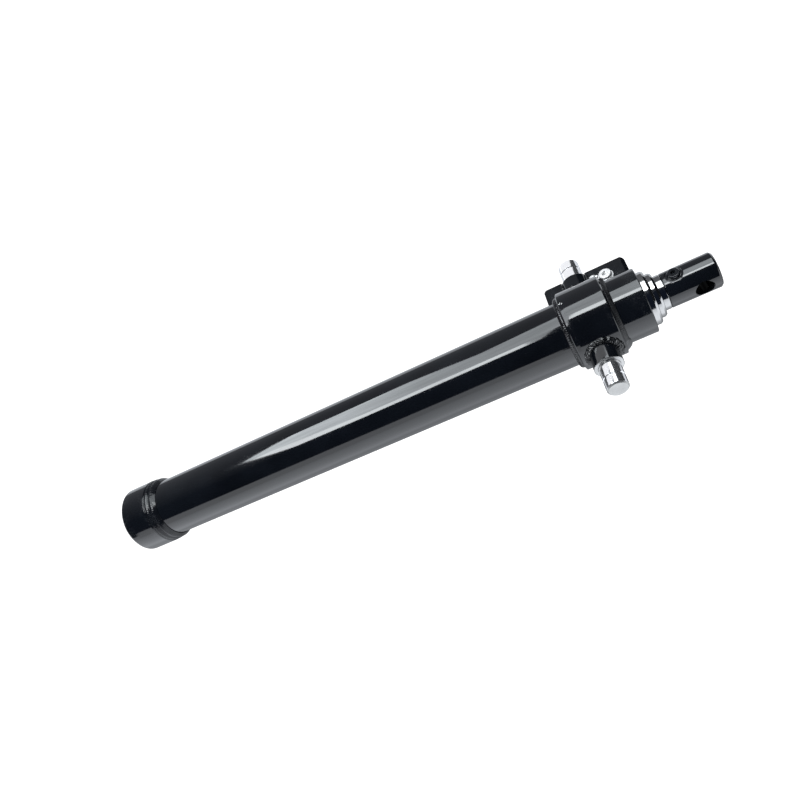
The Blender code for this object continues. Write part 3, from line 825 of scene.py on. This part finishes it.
for x, sx, seed in ((BLOCK[1] + 0.2, 1, 33), (BLOCK[0] - 0.2, -1, 35)):
    pts = [(x + 0.8 * sx, on_barrel(z, BARREL_R + 1.2), z) for z in np.linspace(zb + 1, zt - 1, 14)]
    nor = [(0.75 * sx, y / BARREL_R * 0.6, z / BARREL_R * 0.6) for _, y, z in pts]
    if sx < 0:
        pts, nor = pts[::-1], nor[::-1]
    block_weld(f"block_weld_end_{'head' if sx > 0 else 'base'}", pts, nor, 8.0, 3.4, seed)
for s in (1, -1):
    # where the block's upper face meets the far boss
    block_weld(
        f"block_weld_boss_{'head' if s > 0 else 'base'}",
        [(s * (math.sqrt(BOSS_R**2 - zt * zt) + 1.6), y, zt + 1.2) for y in (92.0, 108.0, SHOULDER - 4.0)],
        [(0.35 * s, 0, 0.94)] * 3, 7.0, 3.2, 37 + s,
    )

seat = zt + 0.3
port_washer = add(
    "port_seal_washer_look",
    lathe_mesh(
        "port_seal_washer_look",
        [(10.5, seat + 1.8), (16.5, seat + 1.8), (16.5, seat), (10.5, seat)],
        turn=UP, radii=[0.2, 0.5, 0.3, 0], at=(PORT_X, PORT_Y, 0), seg=96,
    ),
    M_PLUG,
    "barrel",
)
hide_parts("port_seal_washer")
ptop = seat + 1.8 + 0.3 + 8.0
port_plug = add(
    "port_plug_look",
    lathe_mesh(
        "port_plug_look",
        [
            (0.0, ptop), (12.0, ptop), (13.6, ptop - 1.6), (13.6, ptop - 5.0), (14.8, ptop - 5.6), (14.8, ptop - 8.0),
            (PORT_R - 0.3, ptop - 8.0), (PORT_R - 0.3, -2.0), (PORT_R - 1.6, -4.0), (0.0, -4.0),
        ],
        turn=UP, radii=[0, 0.6, 0.9, 0.5, 0.5, 0.3, 0, 0, 0, 0], closed=False, at=(PORT_X, PORT_Y, 0), seg=96, split=3,
    ),
    M_PLUG,
)
cut(port_plug, hex_cutter("port_hex", 12.0, PORT_X, PORT_Y, ptop, 7.0))
shade(port_plug)
mark_edges(port_plug)
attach(port_plug, "barrel")
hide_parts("port_plug")


def lump(name, centre, axis, long, wide, high, along, material, seed):
    """A small low lump of metal lying on a surface."""
    bm = bmesh.new()
    bmesh.ops.create_icosphere(bm, subdivisions=3, radius=1.0)
    bm.verts.layers.float.new("edge")
    up = Vector(axis).normalized()
    u = (Vector(along) - up * Vector(along).dot(up)).normalized()
    v = up.cross(u)
    for p in bm.verts:
        k = 1.0 + 0.28 * noise.noise(p.co * 1.9 + Vector((seed, 0, 0)))
        c = p.co * k
        p.co = (Vector(centre) + u * c.x * long + v * c.y * wide + up * (c.z * high)) * MM
    mesh = bpy.data.meshes.new(name)
    bm.to_mesh(mesh)
    bm.free()
    obj = add(name, mesh, material, "barrel", smooth=70.0)
    return obj


# bright plated metal on two lumps by the port plug, a painted highlight for the glint on the black weld there; spatter
# by the band
lump("port_tack_bead", (38.0, 103.0, BLOCK[4] - 0.2), (0, 0, 1), 7.6, 5.2, 3.0, (0.9, 0.25, 0), M_PLUG, 3.0)
lump("port_tack_bead_small", (46.5, 101.5, BLOCK[4] - 0.2), (0, 0, 1), 3.4, 3.0, 2.0, (0.8, 0.5, 0), M_PLUG, 5.0)
for i, (mx, mq, ml, mw) in enumerate(((-41.0, 85.4, 2.0, 1.0), (-36.2, 86.2, 2.3, 1.1), (-38.6, 83.6, 1.2, 0.7))):
    q = math.radians(mq)
    out_n = (0.0, math.cos(q), math.sin(q))
    lump(f"spatter_band_{i + 1}", (mx, BAND_R * out_n[1] * 0.998, BAND_R * out_n[2] * 0.998), out_n, ml, mw, 0.5, (1, 0.4, 0.3), M_PLUG, 11.0 + i)


# ------------------------------------------------------------------ stages
S1_START = -1118.0 + 0.3
S2_START = S1_START + 12.3
PL_START = S2_START + 12.3


def stage_tube(name, cad, body, end, start, r, bore, lines, bevel, bevel_radii):
    outside = tube_outside(end, start, r, lines, bevel)
    inside = [(bore - 6.0, start), (bore - 6.0, start + 12.0), (bore, start + 12.0)] + head_bore(end, bore)
    profile = outside + inside
    radii = bevel_radii + [0.1] * (len(outside) - len(bevel)) + [0.0] * (len(inside) - 2) + [0.3, 0.3]
    obj = add(name, lathe_mesh(name, profile, radii=radii, seg=144, split=40), M_CHROME, body)
    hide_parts(cad)
    return obj


stage_tube(
    "stage_1_tube_look", "stage_1_tube", "stage_1", S1_END, S1_START, S1_R, S1_BORE, base_lines(S1_START, BARREL_END),
    [(S1_R - 3.2, S1_END), (S1_R, S1_END - 4.6)], [0.8, 1.2],
)
stage_tube(
    "stage_2_tube_look", "stage_2_tube", "stage_2", S2_END, S2_START, S2_R, S2_BORE, base_lines(S2_START, S1_END),
    [(S2_R - 3.2, S2_END), (S2_R, S2_END - 4.6)], [0.8, 1.2],
)
pl_outside = tube_outside(PL_END, PL_START, PL_R, base_lines(PL_START, S2_END), [(PL_R - 1.0, PL_END), (PL_R, PL_END - 1.2)])
pl_profile = pl_outside + [(PL_BORE, PL_START), (PL_BORE, PL_END - 1.0), (PL_BORE + 1.0, PL_END)]
plunger = add(
    "plunger_tube_look",
    lathe_mesh("plunger_tube_look", pl_profile, radii=[0.4, 0.5] + [0.1] * (len(pl_profile) - 2), seg=128, split=40),
    M_CHROME,
    "plunger",
)
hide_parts("plunger_tube")

for number, end, bore, rod_r, body in ((1, BARREL_END, BARREL_BORE, S1_R, "barrel"), (2, S1_END, S1_BORE, S2_R, "stage_1"), (3, S2_END, S2_BORE, PL_R, "stage_2")):
    r_in, r_out = rod_r + 0.3, bore - 0.3
    wiper = add(
        f"wiper_{number}_look",
        lathe_mesh(
            f"wiper_{number}_look",
            [(r_in + 1.3, end + 0.8), (r_in + 2.1, end - 1.2), (r_out, end - 1.8), (r_out, end - 21.6), (r_in, end - 21.6), (r_in, end + 0.8)],
            radii=[0.3, 0.5, 0.4, 0.2, 0.2, 0.2], seg=128, split=10,
        ),
        M_WIPER,
        body,
    )
    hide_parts(f"wiper_{number}")

# ------------------------------------------------------------------ rod eye
eye = add(
    "rod_eye_look",
    lathe_mesh(
        "rod_eye_look",
        [
            (0.0, EYE_END), (PL_R - 4.2, EYE_END), (PL_R, EYE_END - 4.4), (PL_R, PL_END + 1.8), (PL_R - 1.4, PL_END + 0.3),
            (PL_BORE - 0.3, PL_END + 0.3), (PL_BORE - 0.3, PL_END - 31.0), (PL_BORE - 2.0, PL_END - 33.0), (0.0, PL_END - 33.0),
        ],
        radii=[0, 2.2, 2.6, 0.6, 0.5, 0, 0, 0, 0], closed=False, seg=128, split=5,
    ),
    M_PAINT,
)
eye_cut = helper(
    "eye_cut",
    lathe_mesh(
        "eye_cut",
        [(0.0, 50.0), (EYE_R + 1.4, 50.0), (EYE_R + 1.4, 36.6), (EYE_R, 34.8), (EYE_R, -34.8), (EYE_R + 1.4, -36.6), (EYE_R + 1.4, -50.0), (0.0, -50.0)],
        turn=TO_NEAR, radii=[0, 0, 0, 1.2, 1.2, 0, 0, 0], closed=False, at=(EYE_X, 0, 0), seg=96, split=10,
    ),
)
cut(
    eye, eye_cut,
    rod_cutter("bleed_spot", 18.5, (BLEED_X, 0, SEAT_Z), (BLEED_X, 0, 50), 96),
    rod_cutter("bleed_bore", 9.0, (BLEED_X, 0, 13), (BLEED_X, 0, 40), 64),
)
shade(eye, 30)
mark_edges(eye)
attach(eye, "plunger")
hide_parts("rod_eye")

low = SEAT_Z + 0.3
bleed_washer = add(
    "bleed_washer_look",
    lathe_mesh("bleed_washer_look", [(9.3, low + 1.6), (14.4, low + 1.6), (14.4, low), (9.3, low)], turn=UP, radii=[0.2, 0.4, 0.3, 0], at=(BLEED_X, 0, 0), seg=96),
    M_PAINT,
    "plunger",
)
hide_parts("bleed_washer")
blow = low + 1.6 + 0.3
btop = blow + 6.6
bleed = add(
    "bleed_plug_look",
    lathe_mesh(
        "bleed_plug_look",
        [(0.0, btop), (11.0, btop), (12.6, btop - 1.6), (12.6, blow), (8.7, blow), (8.7, 18.0), (7.4, 16.0), (0.0, 16.0)],
        turn=UP, radii=[0, 0.7, 0.9, 0.4, 0, 0, 0, 0], closed=False, at=(BLEED_X, 0, 0), seg=96, split=3,
    ),
    M_PAINT,
)
cut(bleed, hex_cutter("bleed_hex", 10.0, BLEED_X, 0, btop, 6.0))
shade(bleed)
mark_edges(bleed)
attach(bleed, "plunger")
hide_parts("bleed_plug")

# ------------------------------------------------------------------ the carried-over inner pieces
INNER = {"bush": M_BRONZE, "guide": M_BRONZE, "stop": M_STEEL, "collar": M_STEEL, "retaining": M_STEEL, "seal": M_SEAL}
for name, obj in NODES.items():
    if obj.hide_render:
        continue
    for key, m in INNER.items():
        if key in name:
            obj.data.materials.clear()
            obj.data.materials.append(m)
            for p in obj.data.polygons:
                p.material_index = 0
            break


# ------------------------------------------------------------------ stage: floor, lights, camera
def flat_material(name, colour, strength):
    m = bpy.data.materials.new(name)
    m.use_nodes = True
    nt = m.node_tree
    for n in list(nt.nodes):
        nt.nodes.remove(n)
    out = nt.nodes.new("ShaderNodeOutputMaterial")
    e = nt.nodes.new("ShaderNodeEmission")
    e.inputs["Color"].default_value = (*colour, 1)
    e.inputs["Strength"].default_value = strength
    nt.links.new(e.outputs["Emission"], out.inputs["Surface"])
    return m


def polygon(name, points, material, visible_camera=False):
    mesh = bpy.data.meshes.new(name)
    mesh.from_pydata([Vector(p) for p in points], [], [tuple(range(len(points)))])
    mesh.materials.append(material)
    obj = bpy.data.objects.new(name, mesh)
    bpy.context.scene.collection.objects.link(obj)
    obj.visible_camera = visible_camera
    return obj


def position(nt, axis):
    """One object coordinate in metres, as a plain value."""
    tc = node(nt, "ShaderNodeTexCoord")
    sep = node(nt, "ShaderNodeSeparateXYZ")
    nt.links.new(tc.outputs["Object"], sep.inputs["Vector"])
    return sep.outputs[axis], tc.outputs["Object"]


def graded(name, axis, stops, scale, tint=(1.0, 1.0, 1.0), smudge=0.0, shown=None):
    """A light whose strength follows one axis; stops are (metres, strength). shown is what the camera sees instead."""
    m = bpy.data.materials.new(name)
    m.use_nodes = True
    nt = m.node_tree
    for n in list(nt.nodes):
        nt.nodes.remove(n)
    out = nt.nodes.new("ShaderNodeOutputMaterial")
    value, vector = position(nt, axis)
    lo, hi = stops[0][0], stops[-1][0]
    top = max(v for _, v in stops)
    f = math_node(nt, "MULTIPLY", math_node(nt, "SUBTRACT", value, lo), 1.0 / (hi - lo), clamp=True)
    r = node(nt, "ShaderNodeValToRGB")
    el = r.color_ramp.elements
    el[0].position, el[1].position = 0.0, 1.0
    el[0].color = (*[stops[0][1] / top] * 3, 1)
    el[1].color = (*[stops[-1][1] / top] * 3, 1)
    for p, v in stops[1:-1]:
        e = el.new((p - lo) / (hi - lo))
        e.color = (*[v / top] * 3, 1)
    nt.links.new(f, r.inputs["Fac"])
    strength = math_node(nt, "MULTIPLY", r.outputs["Color"], top)
    if smudge:
        cloud = noise_tex(nt, vector, scale, 3.0, 0.5)
        strength = math_node(nt, "MULTIPLY", strength, grey(nt, cloud, 0.3, 0.7, 1.0 - smudge, 1.0))
    e = nt.nodes.new("ShaderNodeEmission")
    e.inputs["Color"].default_value = (*tint, 1)
    nt.links.new(strength, e.inputs["Strength"])
    if shown is None:
        nt.links.new(e.outputs["Emission"], out.inputs["Surface"])
        return m
    plain = nt.nodes.new("ShaderNodeEmission")
    plain.inputs["Strength"].default_value = shown
    path = nt.nodes.new("ShaderNodeLightPath")
    mixer = nt.nodes.new("ShaderNodeMixShader")
    nt.links.new(path.outputs["Is Camera Ray"], mixer.inputs["Fac"])
    nt.links.new(e.outputs["Emission"], mixer.inputs[1])
    nt.links.new(plain.outputs["Emission"], mixer.inputs[2])
    nt.links.new(mixer.outputs["Shader"], out.inputs["Surface"])
    return m


FLOOR_Z = -0.75
floor = polygon(
    "floor", [(-40, -40, FLOOR_Z), (40, -40, FLOOR_Z), (40, 40, FLOOR_Z), (-40, 40, FLOOR_Z)],
    graded("floor_white", "Y", [(-4.0, 1.3), (-1.6, 1.6), (-0.75, 1.65), (-0.48, 1.6), (-0.22, 0.8), (0.1, 0.45), (0.38, 0.22), (0.56, 0.16), (0.68, 0.4), (0.85, 0.85), (4.0, 0.85)], 1.0, (0.90, 0.94, 1.0), shown=1.35), True,
)

H = 2.0
box_mid = graded("softbox_mid", "X", [(-2.0, 8.5), (-1.35, 8.0), (-0.9, 5.2), (-0.5, 4.2), (0.0, 4.0), (0.9, 4.6)], 3.0, (0.90, 0.96, 1.0), 0.22)
box_edge = graded("softbox_edge", "X", [(-2.0, 11.5), (-1.0, 11.0), (0.9, 11.5)], 3.0, (0.93, 0.975, 1.0), 0.15)
# the overhead softbox: an irregular octagon, brighter along its two long edges
polygon("softbox", [(-1.98, 0.25, H), (-1.70, -0.66, H), (-1.30, -0.80, H), (-0.30, -0.80, H), (-0.20, -0.22, H), (0.9, -0.16, H), (0.9, 1.65, H), (0.0, 1.25, H), (-0.6, 0.72, H), (-1.05, 1.25, H), (-1.80, 1.12, H)], box_mid)
polygon("softbox_edge_near", [(-1.93, 0.10, H - 0.004), (-1.70, -0.66, H - 0.004), (-1.30, -0.80, H - 0.004), (-0.36, -0.80, H - 0.004), (-0.36, -0.45, H - 0.004), (-1.25, -0.40, H - 0.004), (-1.80, 0.10, H - 0.004)], box_edge)
polygon("softbox_edge_head", [(-0.16, -0.24, H - 0.004), (0.9, -0.17, H - 0.004), (0.9, 0.15, H - 0.004), (-0.10, 0.12, H - 0.004)], box_edge)
# a low white card beyond the near side lifts the lower band on the barrel
polygon("card", [(-4.5, -4.0, FLOOR_Z), (-0.35, -4.0, FLOOR_Z), (-0.35, -4.0, 0.40), (-4.5, -4.0, 0.85)], flat_material("card_white", (0.92, 0.95, 1.0), 1.15))
# a tall back card for the plated pins, plug and boss shoulders only
back = polygon("back_card", [(-5.2, 3.2, -0.7), (1.85, 3.2, -0.7), (1.85, 3.2, 4.6), (-5.2, 3.2, 4.6)], flat_material("back_white", (0.97, 0.98, 1.0), 0.85))
nt = back.data.materials[0].node_tree
clear = nt.nodes.new("ShaderNodeBsdfTransparent")
both = nt.nodes.new("ShaderNodeAddShader")
nt.links.new(clear.outputs["BSDF"], both.inputs[0])
nt.links.new(nt.nodes["Emission"].outputs["Emission"], both.inputs[1])
nt.links.new(both.outputs["Shader"], nt.nodes["Material Output"].inputs["Surface"])
plated = bpy.data.collections.new("plated")
for o in bpy.data.objects:
    if o.name.startswith(("trunnion_pin_", "trunnion_boss_near", "port_plug", "port_seal", "port_tack", "spatter")):
        plated.objects.link(o)
back.light_linking.receiver_collection = plated

world = bpy.data.worlds.new("studio")
bpy.context.scene.world = world
world.use_nodes = True
nt = world.node_tree
for n in list(nt.nodes):
    nt.nodes.remove(n)
out = nt.nodes.new("ShaderNodeOutputWorld")
shown = nt.nodes.new("ShaderNodeBackground")
shown.inputs["Color"].default_value = (1, 1, 1, 1)
shown.inputs["Strength"].default_value = 1.0
seen = nt.nodes.new("ShaderNodeBackground")
tc = nt.nodes.new("ShaderNodeTexCoord")
sep = nt.nodes.new("ShaderNodeSeparateXYZ")
nt.links.new(tc.outputs["Generated"], sep.inputs["Vector"])
half = math_node(nt, "ADD", math_node(nt, "MULTIPLY", sep.outputs["Y"], 0.5), 0.5)
sides = ramp(nt, half, [(0.30, (0.010, 0.014, 0.026)), (0.80, (0.19, 0.195, 0.21))])
head_side = math_node(nt, "MULTIPLY", math_node(nt, "SUBTRACT", sep.outputs["X"], 0.34), 8.0, clamp=True)
nt.links.new(mix(nt, head_side, sides, (0.012, 0.013, 0.016)), seen.inputs["Color"])
seen.inputs["Strength"].default_value = 1.0
path = nt.nodes.new("ShaderNodeLightPath")
mixer = nt.nodes.new("ShaderNodeMixShader")
nt.links.new(path.outputs["Is Camera Ray"], mixer.inputs["Fac"])
nt.links.new(seen.outputs["Background"], mixer.inputs[1])
nt.links.new(shown.outputs["Background"], mixer.inputs[2])
nt.links.new(mixer.outputs["Shader"], out.inputs["Surface"])

cam_data = bpy.data.cameras.new("camera")
cam_data.sensor_fit = "HORIZONTAL"
cam_data.sensor_width = 36.0
cam_data.lens = 32.812
cam_data.clip_start, cam_data.clip_end = 0.05, 120.0
cam = bpy.data.objects.new("camera", cam_data)
bpy.context.scene.collection.objects.link(cam)
right = Vector((0.87389, -0.12313, -0.47026)).normalized()
fwd = Vector((-0.29603, 0.63253, -0.71573)).normalized()
up = right.cross(fwd).normalized()
right = fwd.cross(up).normalized()
rot = Matrix((right, up, -fwd)).transposed()
cam.matrix_world = Matrix.Translation((0.0392, -1.0289, 1.1866)) @ rot.to_4x4()
bpy.context.scene.camera = cam

view = bpy.context.scene.view_settings
view.view_transform = "Standard"
view.look = "None"
view.exposure = 0.0
view.gamma = 1.0
